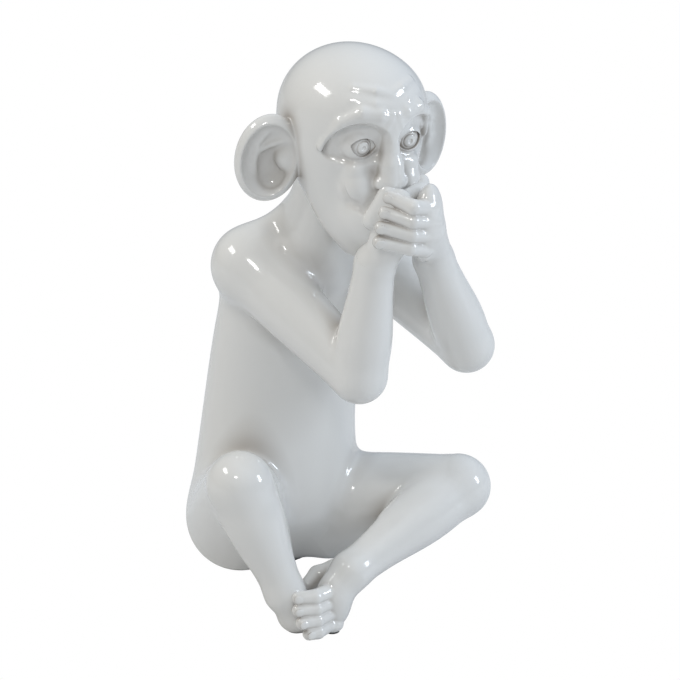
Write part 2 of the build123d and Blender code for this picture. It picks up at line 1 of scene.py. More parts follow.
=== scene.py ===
import bpy
import math
import numpy as np
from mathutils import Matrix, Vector


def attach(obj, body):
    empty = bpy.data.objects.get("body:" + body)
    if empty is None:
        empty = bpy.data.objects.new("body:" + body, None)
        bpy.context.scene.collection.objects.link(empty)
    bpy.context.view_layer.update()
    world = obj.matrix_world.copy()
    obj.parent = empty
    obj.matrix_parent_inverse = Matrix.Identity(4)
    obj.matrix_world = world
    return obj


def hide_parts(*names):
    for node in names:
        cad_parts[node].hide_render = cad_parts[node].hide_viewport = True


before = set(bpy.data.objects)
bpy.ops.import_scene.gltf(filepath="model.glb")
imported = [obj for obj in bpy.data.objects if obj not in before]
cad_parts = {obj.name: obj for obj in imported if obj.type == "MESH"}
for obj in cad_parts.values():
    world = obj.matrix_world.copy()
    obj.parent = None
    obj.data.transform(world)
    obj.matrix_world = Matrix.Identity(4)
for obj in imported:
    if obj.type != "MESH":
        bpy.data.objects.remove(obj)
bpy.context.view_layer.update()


# Camera and room
# Camera at the photograph's angle: 25 degrees round to the figure's right and 20 degrees up,
# with a long lens. Pale paper floor, three soft boxes, and white for what the camera sees beyond.
scene = bpy.context.scene


def aimed(thing, place, target):
    """Set an object at a place and turn its -Z towards a target."""
    thing.location = place
    thing.rotation_euler = (Vector(target) - Vector(place)).to_track_quat("-Z", "Y").to_euler()


camera_data = bpy.data.cameras.new("camera")
camera_data.lens = 135
camera_data.sensor_width = 36
camera = bpy.data.objects.new("camera", camera_data)
scene.collection.objects.link(camera)
aimed(camera, (-0.64707, -1.51202, 0.75427), (0.02805, -0.06422, 0.17284))
scene.camera = camera
scene.view_settings.view_transform = "Standard"


def node_material(name):
    """Empty node material and its output."""
    material = bpy.data.materials.new(name)
    material.use_nodes = True
    tree = material.node_tree
    tree.nodes.clear()
    return material, tree, tree.nodes.new("ShaderNodeOutputMaterial")


def node(tree, kind, **inputs):
    """Node with its sockets set by name; a socket given another socket is linked to it."""
    made = tree.nodes.new(kind)
    for name, value in inputs.items():
        socket = made.inputs[name.replace("_", " ")]
        if isinstance(value, bpy.types.NodeSocket):
            tree.links.new(value, socket)
        else:
            socket.default_value = value
    return made


floor_material, tree, out = node_material("floor_paper")
paper = node(tree, "ShaderNodeBsdfPrincipled", Roughness=0.55)
grain = node(tree, "ShaderNodeTexNoise", Scale=900.0, Detail=3.0)
ramp = node(tree, "ShaderNodeMapRange", Value=grain.outputs["Fac"])
ramp.inputs["To Min"].default_value = 0.70
ramp.inputs["To Max"].default_value = 0.76
tree.links.new(ramp.outputs["Result"], paper.inputs["Base Color"])
seen = tree.nodes.new("ShaderNodeLightPath").outputs["Is Camera Ray"]
lit = node(tree, "ShaderNodeEmission", Color=(1.0, 1.0, 1.0, 1.0), Strength=1.0)
burnt = node(tree, "ShaderNodeMixShader", Fac=seen)
tree.links.new(paper.outputs[0], burnt.inputs[1])
tree.links.new(lit.outputs[0], burnt.inputs[2])
tree.links.new(burnt.outputs[0], out.inputs["Surface"])

bpy.ops.mesh.primitive_plane_add(size=14, location=(0, 0, 0))
floor = bpy.context.object
floor.name = "floor"
floor.data.materials.append(floor_material)


def soft_box(name, place, target, width, height, watts, tint):
    """Rectangular studio light."""
    data = bpy.data.lights.new(name, "AREA")
    data.shape = "RECTANGLE"
    data.size = width
    data.size_y = height
    data.energy = watts
    data.color = tint
    light = bpy.data.objects.new(name, data)
    scene.collection.objects.link(light)
    aimed(light, place, target)


DAYLIGHT = (1.0, 0.99, 0.97)
SKYLIGHT = (0.82, 0.90, 1.0)
soft_box("window", (-1.02, 0.23, 1.20), (0.0, -0.1, 0.37), 0.62, 0.26, 4.5, DAYLIGHT)
soft_box("front_window", (-0.80, -1.00, 1.35), (0.0, -0.1, 0.30), 0.20, 0.14, 3, DAYLIGHT)
soft_box("side_window", (1.35, -1.0, 0.75), (0.0, -0.04, 0.2), 0.30, 0.55, 8, SKYLIGHT)

world = bpy.data.worlds.new("room")
scene.world = world
world.use_nodes = True
tree = world.node_tree
tree.nodes.clear()
out = tree.nodes.new("ShaderNodeOutputWorld")
rays = tree.nodes.new("ShaderNodeLightPath")
way = node(tree, "ShaderNodeSeparateXYZ", Vector=tree.nodes.new("ShaderNodeTexCoord").outputs["Generated"])
level = node(tree, "ShaderNodeMapRange", Value=way.outputs["Z"])
level.inputs["From Min"].default_value = -0.1
level.inputs["From Max"].default_value = 0.95
level.inputs["To Min"].default_value = 0.34
level.inputs["To Max"].default_value = 1.0
across = node(tree, "ShaderNodeMapRange", Value=way.outputs["X"])
across.inputs["From Min"].default_value = -0.7
across.inputs["From Max"].default_value = 0.7
tint = node(tree, "ShaderNodeMix")
tint.data_type = "RGBA"
tree.links.new(across.outputs["Result"], tint.inputs[0])
tint.inputs[6].default_value = (0.70, 0.685, 0.64, 1)
tint.inputs[7].default_value = (0.80, 0.89, 1.0, 1)
dim = node(tree, "ShaderNodeBackground", Color=tint.outputs[2], Strength=level.outputs["Result"])
white = node(tree, "ShaderNodeBackground", Color=(1.0, 1.0, 1.0, 1.0), Strength=1.0)
mix = node(tree, "ShaderNodeMixShader", Fac=rays.outputs["Is Camera Ray"])
tree.links.new(dim.outputs[0], mix.inputs[1])
tree.links.new(white.outputs[0], mix.inputs[2])
tree.links.new(mix.outputs[0], out.inputs["Surface"])


# Torso and neck
# Hollow resin casting, white lacquer. Pear-shaped trunk that leans forward, with the neck, the
# slopes of the shoulders and the roots of the hips. Its open seat is closed by a glued plate.

# The figure is sculpted as distance fields, in millimetres from a mark on the floor. A field is
# below zero inside a form. Soft joins run one form into the next, as the modeller's clay did.
MARK = np.array((4.56, 42.12, 0.0))


def V(*values):
    """Point or direction."""
    return np.array(values, float)


def length(P):
    """Length of each row."""
    return np.sqrt(np.einsum("ij,ij->i", P, P))


def egg(P, centre, radii, axes=None):
    """Ellipsoid."""
    q = P - np.asarray(centre, float)
    if axes is not None:
        q = q @ axes
    r = np.asarray(radii, float)
    near = length(q / r)
    return near * (near - 1.0) / np.maximum(length(q / (r * r)), 1e-9)


def rod(P, start, end, first, last):
    """Round bar that tapers evenly, with round ends."""
    start, end = np.asarray(start, float), np.asarray(end, float)
    run = end - start
    q = P - start
    share = np.clip(q @ run / (run @ run), 0, 1)
    return length(q - share[:, None] * run) - (first + (last - first) * share)


def curve(share, knots, values):
    """Natural cubic spline through the values at the knots, level beyond the ends."""
    x, y = np.asarray(knots, float), np.asarray(values, float)
    n = len(x)
    A = np.zeros((n, n))
    r = np.zeros(n)
    A[0, 0] = A[-1, -1] = 1
    for i in range(1, n - 1):
        A[i, i - 1] = x[i] - x[i - 1]
        A[i, i] = 2 * (x[i + 1] - x[i - 1])
        A[i, i + 1] = x[i + 1] - x[i]
        r[i] = 6 * ((y[i + 1] - y[i]) / (x[i + 1] - x[i]) - (y[i] - y[i - 1]) / (x[i] - x[i - 1]))
    M = np.linalg.solve(A, r)
    s = np.clip(share, x[0], x[-1])
    i = np.clip(np.searchsorted(x, s) - 1, 0, n - 2)
    step = x[i + 1] - x[i]
    a, b = (x[i + 1] - s) / step, (s - x[i]) / step
    return a * y[i] + b * y[i + 1] + ((a**3 - a) * M[i] + (b**3 - b) * M[i + 1]) * step * step / 6


def barrel(q, rows):
    """Body of level sections, each half an ellipse in front and half behind, flat at both ends."""
    z, across, back, wide, front, rear = (np.array(column, float) for column in zip(*rows))
    up = q[:, 2]
    level = np.clip(up, z[0], z[-1])
    X = q[:, 0] - curve(level, z, across)
    Y = q[:, 1] - curve(level, z, back)
    w = curve(level, z, wide)
    depth = np.where(Y < 0, curve(level, z, front), curve(level, z, rear))
    near = np.sqrt((X / w) ** 2 + (Y / depth) ** 2)
    fall = np.sqrt((X / (w * w)) ** 2 + (Y / (depth * depth)) ** 2)
    side = near * (near - 1) / np.maximum(fall, 1e-9)
    over = np.maximum(z[0] - up, up - z[-1])
    beyond = np.sqrt(np.maximum(side, 0) ** 2 + np.maximum(over, 0) ** 2)
    return beyond + np.minimum(np.maximum(side, over), 0)


def join(a, b, soft):
    """Union of two forms, run together over a width."""
    h = np.maximum(soft - np.abs(a - b), 0.0) / soft
    return np.minimum(a, b) - h * h * h * soft / 6.0


# Level, middle across and back, half width, and depth in front and behind
TORSO_ROWS = [
    (-6.0, 5.4, 45.0, 31.0, 23.0, 23.5),
    (1.2, 4.6, 42.1, 37.6, 30.2, 30.2),
    (9.1, 3.4, 38.2, 45.6, 39.9, 38.5),
    (22.2, 2.3, 31.2, 52.4, 50.2, 46.8),
    (42.0, 1.1, 21.8, 57.0, 57.0, 51.0),
    (74.8, -0.9, 10.1, 57.0, 50.2, 49.4),
    (115.6, -1.6, 2.3, 53.6, 41.0, 46.0),
    (155.0, 0.9, -4.7, 53.2, 37.0, 44.7),
    (195.8, 4.0, -13.3, 53.6, 34.2, 39.5),
    (224.8, 6.8, -20.3, 50.2, 30.2, 32.2),
    (248.4, 9.1, -29.6, 36.5, 26.2, 26.0),
    (264.2, 10.3, -35.9, 21.7, 20.0, 18.2),
]


def torso(P):
    """Trunk with its shoulder blades, neck and the slopes beside it."""
    form = barrel(P, TORSO_ROWS)
    form = join(form, egg(P, (-24, -12, 218), (21, 15, 32)), 12)
    form = join(form, egg(P, (40, -8, 214), (21, 15, 32)), 12)
    form = join(form, rod(P, (9, -30, 240), (13, -62, 300), 28.5, 24.5), 14)
    form = join(form, rod(P, (-30, -18, 240), (8, -34, 268), 15, 16), 12)
    return join(form, rod(P, (48, -14, 238), (10, -34, 268), 15, 16), 12)


# White polyester lacquer, rubbed to a high gloss, with faint orange peel and a gloss that changes
# slowly over the surface. It lies thicker in the creases, where its colour is painted darker and
# warmer as shade.
WHITE_LACQUER = (0.78, 0.775, 0.76, 1)
# Painted shade: the colour laid into creases and hollows, where shade falls
PAINTED_CREASE_SHADE = (0.46, 0.425, 0.39, 1)


def lacquer(name, seed):
    """Lacquer of one casting; the seed shifts its orange peel."""
    material, tree, out = node_material(name)
    place = node(tree, "ShaderNodeTexCoord").outputs["Object"]
    shift = node(tree, "ShaderNodeMapping", Vector=place, Location=(seed, seed * 0.7, -seed))
    cloud = node(tree, "ShaderNodeTexNoise", Vector=shift.outputs[0], Scale=26.0, Detail=4.0)
    peel = node(tree, "ShaderNodeTexNoise", Vector=shift.outputs[0], Scale=420.0, Detail=2.0)
    # Painted shade: the crease attribute mixes the darker, warmer colour into creases and hollows
    crease_shade = tree.nodes.new("ShaderNodeAttribute")
    crease_shade.attribute_name = "crease_shade"
    shade_share = node(tree, "ShaderNodeMapRange", Value=crease_shade.outputs["Fac"])
    shade_share.inputs["From Min"].default_value = 0.12
    shade_share.inputs["From Max"].default_value = 0.85
    colour = node(tree, "ShaderNodeMix")
    colour.data_type = "RGBA"
    colour.inputs[6].default_value = WHITE_LACQUER
    colour.inputs[7].default_value = PAINTED_CREASE_SHADE
    tree.links.new(shade_share.outputs["Result"], colour.inputs[0])
    gloss = node(tree, "ShaderNodeMapRange", Value=cloud.outputs["Fac"])
    gloss.inputs["To Min"].default_value = 0.10
    gloss.inputs["To Max"].default_value = 0.17
    bump = node(tree, "ShaderNodeBump", Height=peel.outputs["Fac"], Strength=0.10, Distance=0.0004)
    skin = node(tree, "ShaderNodeBsdfPrincipled", Normal=bump.outputs[0], Roughness=gloss.outputs["Result"])
    tree.links.new(colour.outputs[2], skin.inputs["Base Color"])
    skin.inputs["IOR"].default_value = 1.5
    skin.inputs["Coat Weight"].default_value = 0.6
    skin.inputs["Coat Roughness"].default_value = 0.04
    tree.links.new(skin.outputs[0], out.inputs["Surface"])
    return material


# Widths over which the lacquered surface runs from one casting into the next
SHOULDER_RUN = 20
HIP_RUN = 14
NECK_RUN = 8

FORMS = {}
CASTINGS = []


def casting(name, form, material, low, high, cell, meets, **extras):
    """Note a piece to cast: form, box, mesh size, and its neighbours with the width of each run."""
    FORMS[name] = form
    CASTINGS.append(dict(name=name, form=form, material=material, low=low, high=high, cell=cell,
                         meets=meets, **extras))


FELT_THICKNESS = 1.2


def above_felt(P):
    """Above zero over the felt."""
    return P[:, 2] - FELT_THICKNESS


casting(
    "torso_shell", torso, lacquer("lacquer_torso", 0.0), (-75, -105, -4), (90, 85, 312), 2.0,
    meets={
        "right_arm": SHOULDER_RUN, "left_arm": SHOULDER_RUN, "right_leg": HIP_RUN, "left_leg": HIP_RUN,
        "head_shell": NECK_RUN,
    },
    limits=[above_felt],
)


# Head
# Hollow resin casting, white lacquer, bonded on the neck. Bald skull, heavy furrowed brow, deep
# almond sockets with lidded eyes, narrow nose, cheek pads and a long jaw.
def turned(yaw=0, pitch=0, roll=0):
    """Axes turned about the upright, then side to side, then fore and aft; -Y is forward."""
    z, x, y = (math.radians(angle) for angle in (yaw, pitch, roll))
    about_z = np.array([[math.cos(z), -math.sin(z), 0], [math.sin(z), math.cos(z), 0], [0, 0, 1]])
    about_x = np.array([[1, 0, 0], [0, math.cos(x), -math.sin(x)], [0, math.sin(x), math.cos(x)]])
    about_y = np.array([[math.cos(y), 0, math.sin(y)], [0, 1, 0], [-math.sin(y), 0, math.cos(y)]])
    return about_z @ about_x @ about_y


def ball(P, centre, radius):
    """Sphere."""
    return length(P - np.asarray(centre, float)) - radius


def carve(a, b, soft):
    """First form less the second."""
    return -join(-a, b, soft)


def rope(P, points, radii, soft=1.0):
    """Bent round bar through points."""
    form = None
    for start, end, first, last in zip(points, points[1:], radii, radii[1:]):
        piece = rod(P, start, end, first, last)
        form = piece if form is None else join(form, piece, soft)
    return form


# Middle of the head, and its rows as for the torso, from that middle
HEAD = V(14, -79, 336)
HEAD_AXES = turned(5, 6)
SKULL_ROWS = [
    (-72, 0, -24, 15, 16, 14),
    (-60, 0, -21, 25, 24, 22),
    (-45, 0, -15, 32, 30, 32),
    (-28, 0, -8, 38, 36, 44),
    (-10, 0, -2, 43, 42, 52),
    (1, 0, 1, 42.5, 43, 50),
    (8, 0, 2, 39, 41, 47),
]
EYE = V(16.5, -34.6, 3.5)
EYE_RADIUS = 9.0
LID_RADIUS = 10.6
IRIS_RADIUS = 4.5
PUPIL_RADIUS = 1.35

# The skin round each eye is meshed finer, in a patch of its own inside a box
EYE_PATCH = 13.5
EYE_BOX = 15
EAR_RUN = 3
SEAM_SQUARE = 0.04

# How far neighbouring skins reach past the line between them
OVERLAP = 0.08


def head_local(P):
    """Place on the head, with the two halves laid on each other."""
    q = (P - HEAD) @ HEAD_AXES
    mirrored = q.copy()
    mirrored[:, 0] = np.sqrt(q[:, 0] ** 2 + SEAM_SQUARE)
    return q, mirrored


def skull(P):
    """Skull, jaw and muzzle, without the face."""
    q = (P - HEAD) @ HEAD_AXES
    form = barrel(q, SKULL_ROWS)
    form = join(form, egg(q, (0, 2, 8), (44.5, 51, 43.5)), 8)
    form = join(form, egg(q, (0, -8, 19), (40, 43, 32)), 10)
    form = join(form, egg(q, (0, -38, -42), (25, 22, 24)), 12)
    return join(form, egg(q, (0, -28, -62), (15, 15, 13)), 10)


def eye_opening(m):
    """Almond opening between the lids, as a form that runs forward."""
    tilt = math.radians(-9)
    x = (m[:, 0] - EYE[0]) * math.cos(tilt) - (m[:, 2] - EYE[2]) * math.sin(tilt)
    z = (m[:, 0] - EYE[0]) * math.sin(tilt) + (m[:, 2] - EYE[2]) * math.cos(tilt)
    upper = np.sqrt(x * x + (z + 2.9) ** 2) - 8.9
    lower = np.sqrt(x * x + (z - 2.6) ** 2) - 8.4
    return np.maximum(np.maximum(upper, lower), m[:, 1] - EYE[1])


def socket_depth(m):
    """Depth of the almond socket under the brow: steep above, shallow below and at the nose."""
    x, z = m[:, 0], m[:, 2]
    upper = np.sqrt((x - 19) ** 2 + (z - 2.5) ** 2) - 19
    lower = 46.9 - np.sqrt((x - 23.3) ** 2 + (z - 38.3) ** 2)
    over = np.clip(-upper / 4.2, 0, 1)
    under = np.clip(lower / 6.0 + 0.15, 0, 1)
    inner = np.clip((x - 1.0) / 5.0, 0, 1)
    shape = over * over * (3 - 2 * over) * under * under * (3 - 2 * under) * inner
    depth = 5.0 - 2.6 * np.clip((x - 17) / 15, 0, 1)
    return np.where(m[:, 1] < 0, depth * shape, 0.0)


def head(P):
    """Head with brow, wrinkles, sockets, cheeks, lids, nose and eyes."""
    q, m = head_local(P)
    form = skull(P)
    brow = [V(0, -47, 21), V(9, -46.8, 25), V(19, -43.2, 26), V(29, -36.5, 19), V(36.5, -26, 1)]
    form = join(form, rope(m, brow, [3.6, 4.4, 4.4, 3.8, 2.4], 2), 4)
    form = join(form, rope(m, [V(0, -45.6, 28.5), V(11, -44.3, 31), V(23, -35, 32)], [2, 2.1, 1]), 5)
    form = join(form, rope(m, [V(0, -42.7, 35), V(9, -40.6, 38), V(20, -32.5, 39)], [2, 1.9, 0.9]), 5)
    form = join(form, rope(m, [V(1.5, -49, 25), V(5.5, -49.8, 16)], [1.9, 1.1]), 3)
    form = form + socket_depth(m)
    form = join(form, egg(m, (15.5, -36.5, -23), (12, 12.5, 13)), 5)
    form = join(form, ball(m, EYE, LID_RADIUS), 5)
    form = join(form, egg(m, (15.5, -36.5, -12), (10, 8, 7.5), turned(-20, 0, 8)), 5)
    form = carve(form, eye_opening(m), 0.5)
    nose = [V(0, -45, 16), V(0, -47, 4), V(0.8, -49.5, -8), V(1, -50.5, -16.5)]
    form = join(form, rope(m, nose, [4, 5, 6.6, 7.8], 3), 6)
    form = join(form, ball(m, (7, -50, -19), 4.6), 4)
    fold = [V(10, -51.5, -24), V(18, -50, -34), V(25, -42.5, -31), V(28, -38, -21)]
    form = carve(form, rope(m, fold, [0.9, 1.2, 0.9, 0.2], 3), 7)
    eye = ball(m, EYE, EYE_RADIUS)
    flat = np.sqrt((m[:, 0] - EYE[0]) ** 2 + (m[:, 2] - EYE[2] + 0.3) ** 2)
    front = m[:, 1] < EYE[1]
    ring = np.where(front, np.exp(-(((flat - IRIS_RADIUS) / 0.42) ** 2)) * 0.4, 0)
    pupil = np.where(front, np.exp(-((flat / PUPIL_RADIUS) ** 4)) * 0.9, 0)
    return join(form, eye + ring + pupil, 0.2)


def past_eyes(P):
    """Above zero away from both eyes."""
    return ball(head_local(P)[1], EYE, EYE_PATCH)


def near_eyes(P):
    """Above zero round both eyes."""
    return OVERLAP - past_eyes(P)


lacquer_head = lacquer("lacquer_head", 1.3)
casting(
    "head_shell", head, lacquer_head, (-52, -148, 248), (78, -10, 392), 0.8,
    meets={"torso_shell": NECK_RUN, "right_ear": EAR_RUN, "left_ear": EAR_RUN}, limits=[past_eyes],
)
for side, name in ((-1, "right_eye"), (1, "left_eye")):
    middle = HEAD + HEAD_AXES @ (EYE * V(side, 1, 1))
    casting(
        name, head, lacquer_head, middle - EYE_BOX, middle + EYE_BOX, 0.3,
        meets={}, limits=[near_eyes], node_name="head_shell",
    )


# Ears
# Resin castings bonded to flats on the head, white lacquer. Thin rolled rim, forked fold inside
# and a deep bowl next to the head.
EAR_BOX = {-1: ((-74, -112, 284), (-18, -52, 356)), 1: ((44, -104, 284), (100, -44, 356))}


def ear(P, side):
    """Ear of one side, hollowed to a rim, with a forked fold and a bowl."""
    axes = HEAD_AXES @ turned(24 * side, 0, -8 * side)
    centre = HEAD + HEAD_AXES @ V(56 * side, 4, -14)
    q = (P - centre) @ axes
    q[:, 0] *= side
    form = egg(q, (0, 0, 0), (21, 10.6, 28.6))
    form = carve(form, egg(q, (0.5, -10.5, 0), (17.6, 13, 25.2)), 2.0)
    fold = rope(q, [V(1, 1.4, -17), V(8, 2.0, -5), V(8.5, 1.2, 8), V(4, -0.4, 17)], [1.0, 1.7, 1.6, 0.7])
    fork = rope(q, [V(7, 2.0, 3), V(-1, 1.6, 9), V(-9, -0.5, 14)], [1.3, 1.5, 0.8])
    form = join(form, join(fold, fork, 4), 6)
    form = carve(form, egg(q, (-3.5, 0.2, -8), (8, 5.4, 11)), 8)
    return join(form, egg(q, (-14, 3.5, 1.5), (10, 7.2, 10)), 4)


def side_of(form, side):
    """One side's form of a pair."""
    return lambda P: form(P, side)


for side, name in ((-1, "right_ear"), (1, "left_ear")):
    casting(
        name, side_of(ear, side), lacquer("lacquer_" + name, 2.0 + side), *EAR_BOX[side], 0.8,
        meets={"head_shell": EAR_RUN},
    )


# Arms
# Resin castings bonded over pins at the shoulders, white lacquer. Both elbows point forward and
# down, and the forearms rise to the mouth.
SHOULDER = {-1: V(-34, -28, 236), 1: V(53, -22, 232)}
ELBOW = {-1: V(4, -112, 183), 1: V(84, -105, 189)}
WRIST = {-1: V(10, -122, 260), 1: V(52, -119, 256)}
UPPER_ARM = ([0, 0.35, 0.75, 1], [22, 21.5, 18.8, 17.5])      # shares of the length, radii there
FOREARM = ([0, 0.3, 0.7, 1], [16.7, 17.7, 14.5, 12.5])
ARM_BOX = {-1: ((-64, -145, 160), (34, 2, 285)), 1: ((24, -145, 164), (108, 4, 285))}
WRIST_RUN = 6


def spindle(P, start, end, knots, radii):
    """Round bar whose radius follows a smooth curve, with round ends."""
    start, end = np.asarray(start, float), np.asarray(end, float)
    run = end - start
    span = math.sqrt(run @ run)
    q = P - start
    share = np.clip(q @ run / (span * span), 0, 1)
    return length(q - share[:, None] * run) - curve(share, knots, radii)


def arm(P, side):
    """Shoulder, upper arm and forearm of one side."""
    form = ball(P, SHOULDER[side] + V(0, 1, 0), 24)
    form = join(form, spindle(P, SHOULDER[side], ELBOW[side], *UPPER_ARM), 12)
    return join(form, spindle(P, ELBOW[side], WRIST[side], *FOREARM), 6)


for side, name, palm in ((-1, "right_arm", "right_hand"), (1, "left_arm", "left_hand")):
    casting(
        name, side_of(arm, side), lacquer("lacquer_" + name, 4.0 + side), *ARM_BOX[side], 1.6,
        meets={"torso_shell": SHOULDER_RUN, palm: WRIST_RUN},
    )


# Hands
# Resin castings bonded over pins at the wrists, white lacquer. The right hand lies flat over the
# mouth and the left one folds over its back, with four bent fingers with nails.
HAND_AXES = turned(13, 6)
FINGER_HEIGHTS = [-27.3, -36.1, -44.9, -53.7]

# Place across and forward of each bent finger of the left hand
FINGER_ROOTS = [(10, 70), (12, 71.5), (11, 71.5), (7, 70)]
FINGER_BENDS = [(-6, 71.5), (-6, 72), (-6, 72), (-6, 71.5)]
FINGER_TIPS = [(-13, 57), (-17, 58.5), (-20.5, 60), (-22, 61)]


def on_mouth(x, forward, z):
    """Point of the hands, from the middle of the head."""
    return HEAD + HAND_AXES @ V(x, -forward, z)


def right_hand(P):
    """Palm, four straight fingers and thumb, flat on the mouth."""
    form = egg(P, on_mouth(-9, 57, -45), (13.5, 9.5, 25), HAND_AXES @ turned(-24, 0, 8))
    form = join(form, rod(P, WRIST[-1], on_mouth(-9, 57, -50), 12.5, 9.5), 8)
    for z in FINGER_HEIGHTS:
        form = join(form, rod(P, on_mouth(-5.5, 58.9, z), on_mouth(18.2, 50.6, z), 5, 5), 2)
    return join(form, rod(P, on_mouth(-21, 50.6, -41), on_mouth(-12, 53, -23), 5.5, 5.2), 4)


def left_hand(P):
    """Palm, four bent fingers with nails, and thumb, over the right hand."""
    form = egg(P, on_mouth(11, 66, -42.8), (13.5, 9.5, 25), HAND_AXES @ turned(34))
    form = join(form, rod(P, WRIST[1], on_mouth(13, 66, -48), 12.5, 10), 8)
    for root, bend, tip, z in zip(FINGER_ROOTS, FINGER_BENDS, FINGER_TIPS, FINGER_HEIGHTS):
        points = [on_mouth(*root, z - 4.5), on_mouth(*bend, z - 0.5), on_mouth(*tip, z + 2.5)]
        finger = rope(P, points, [5.4, 5.0, 4.3], 1.5)
        along = (points[2] - points[1]) / np.linalg.norm(points[2] - points[1])
        up = HAND_AXES @ V(0, 0, 1)
        normal = np.cross(up, along)
        place = points[2] - along * 0.5 + normal * 3.7
        finger = join(finger, egg(P, place, (3.6, 1.0, 3.0), np.array([along, normal, up]).T), 0.5)
        form = join(form, finger, 1.6)
    thumb = rod(P, on_mouth(13.6, 58, -32), on_mouth(21, 46, -25), 5.6, 5.0)
    return join(form, thumb, 4)


casting(
    "right_hand", right_hand, lacquer("lacquer_right_hand", 6.1), (-22, -160, 240), (42, -110, 334), 0.7,
    meets={"right_arm": WRIST_RUN}, behind=["head_shell"],
)
casting(
    "left_hand", left_hand, lacquer("lacquer_left_hand", 7.4), (-18, -168, 236), (72, -106, 345), 0.7,
    meets={"left_arm": WRIST_RUN}, behind=["head_shell", "right_hand"],
)


# Legs
# Resin castings bonded over pins at the hips, white lacquer. The right knee stands up and the
# left one lies out, and both shanks come in to the middle.
HIP = {-1: V(-30, 4, 46), 1: V(34, 0, 44)}
KNEE = {-1: V(-59.4, -66, 102), 1: V(102.4, -62, 70)}
ANKLE = {-1: V(-36, -84, 28), 1: V(8, -92, 38)}
THIGH = ([0, 0.5, 1], [37, 30, 21.5])     # shares of the length, radii there
SHANK = ([0, 0.35, 0.75, 1], [19.5, 20, 14.5, 12.8])
LEG_BOX = {-1: ((-92, -112, 2), (16, 50, 132)), 1: ((-14, -116, 4), (132, 48, 98))}
ANKLE_RUN = 8


def leg(P, side):
    """Thigh, knee and shank with its calf, of one side."""
    form = spindle(P, HIP[side], KNEE[side], *THIGH)
    form = join(form, spindle(P, KNEE[side], ANKLE[side], *SHANK), 8)
    calf = KNEE[side] * 0.62 + ANKLE[side] * 0.38 + V(0, 5, 0)
    along = (ANKLE[side] - KNEE[side]) / np.linalg.norm(ANKLE[side] - KNEE[side])
    return join(form, rod(P, calf - along * 12, calf + along * 14, 16.5, 14), 10)


for side, name, sole in ((-1, "right_leg", "right_foot"), (1, "left_leg", "left_foot")):
    casting(
        name, side_of(leg, side), lacquer("lacquer_" + name, 9.0 + side), *LEG_BOX[side], 1.6,
        meets={"torso_shell": HIP_RUN, sole: ANKLE_RUN},
    )


# Feet
# Resin castings bonded over pins at the ankles, white lacquer. The right foot is tucked flat
# behind, and the left one stands on its edge and clasps the right ankle with its toes.
FOOT_TURN = 33
TOE_TIPS = [(-33, -99, 29.8), (-34, -101.3, 22), (-33, -104.6, 14.2), (-28.5, -106, 6.4)]


def right_foot(P):
    """Heel, sole and five toes, flat on the felt."""
    form = egg(P, (-27, -85, 10.8), (13.5, 12.5, 11.5))
    form = join(form, rod(P, ANKLE[-1], V(-28, -85, 13), 12.8, 11), 8)
    form = join(form, rod(P, V(-28, -85, 10), V(-5, -70, 7.5), 9.5, 7.5), 6)
    form = join(form, egg(P, (-5, -70, 7.4), (13.4, 11, 6.2), turned(FOOT_TURN)), 5)
    angle = math.radians(FOOT_TURN)
    run, side = V(math.cos(angle), math.sin(angle), 0), V(-0.545, 0.839, 0)
    for index in range(4):
        start = V(-5, -70, 5.4) + side * (1 - index) * 6.5
        form = join(form, rod(P, start, start + run * (16 - abs(1 - index) * 2.2), 4.4, 3.7), 1.5)
    return join(form, rod(P, V(-9, -65, 5.5), V(-3, -50, 5.3), 4.6, 4.0), 3)


def left_foot(P):
    """Sole on its edge, four bent toes with nails, and the big toe round the other ankle."""
    form = egg(P, (-5, -94, 21), (11.4, 11, 19))
    form = join(form, rod(P, ANKLE[1], V(-4, -94, 26), 12.8, 11), 8)
    for index, tip in enumerate(TOE_TIPS):
        bend = V(-22.3, -102 - index * 1.1, tip[2])
        points = [V(-8, -97, tip[2]), bend, V(*tip)]
        toe = rope(P, points, [5.2, 5.0, 4.5], 1.5)
        along = (points[2] - bend) / np.linalg.norm(points[2] - bend)
        normal = np.cross(V(0, 0, 1), along)
        place = points[2] + along * 0.3 + normal * 3.9
        toe = join(toe, egg(P, place, (3.2, 1.0, 2.8), np.array([along, normal, V(0, 0, 1)]).T), 0.5)
        form = join(form, toe, 1.8)
    form = join(form, egg(P, (-8, -97, 5), (7.6, 7.2, 5.5)), 2)
    big = [V(5, -86, 34), V(5, -73, 32), V(-5, -68, 27.5), V(-13.5, -71.5, 23.5)]
    return join(form, rope(P, big, [7.4, 6.4, 6.2, 5.4], 3), 4)


casting(
    "right_foot", right_foot, lacquer("lacquer_right_foot", 11.2), (-54, -106, -1), (22, -38, 44), 0.9,
    meets={"right_leg": ANKLE_RUN}, limits=[above_felt],
)
casting(
    "left_foot", left_foot, lacquer("lacquer_left_foot", 12.7), (-46, -118, -1), (30, -60, 58), 0.7,
    meets={"left_leg": ANKLE_RUN}, behind=["right_leg", "right_foot"], limits=[above_felt],
)


# Casting
# The pieces are meshed last, because each one needs its neighbours: its skin is the field of them
# all run together, so that the lacquer runs over the joints. It is then cut where a neighbour is
# nearer, and closed with a sunk seat.
CORNERS = np.array([(1, -1, -1), (-1, -1, 1), (-1, 1, -1), (1, 1, 1)], float)
CORNER_REACH = 0.12


def slope(field, points):
    """Value of a field at points and its unit slope, from four corners round each point."""
    samples = [field(points + CORNER_REACH * corner) for corner in CORNERS]
    gradient = sum(value[:, None] * corner for value, corner in zip(samples, CORNERS))
    gradient = gradient / (4 * CORNER_REACH)
    size = np.maximum(length(gradient), 1e-6)
    return sum(samples) / 4 / size, gradient / size[:, None]


CELLS_PER_BLOCK = 8
BLOCKS_AT_ONCE = 256
NEAR_BLOCK = 1.15           # largest distance of the surface from a block's middle, in blocks
SETTLING_ROUNDS = 3


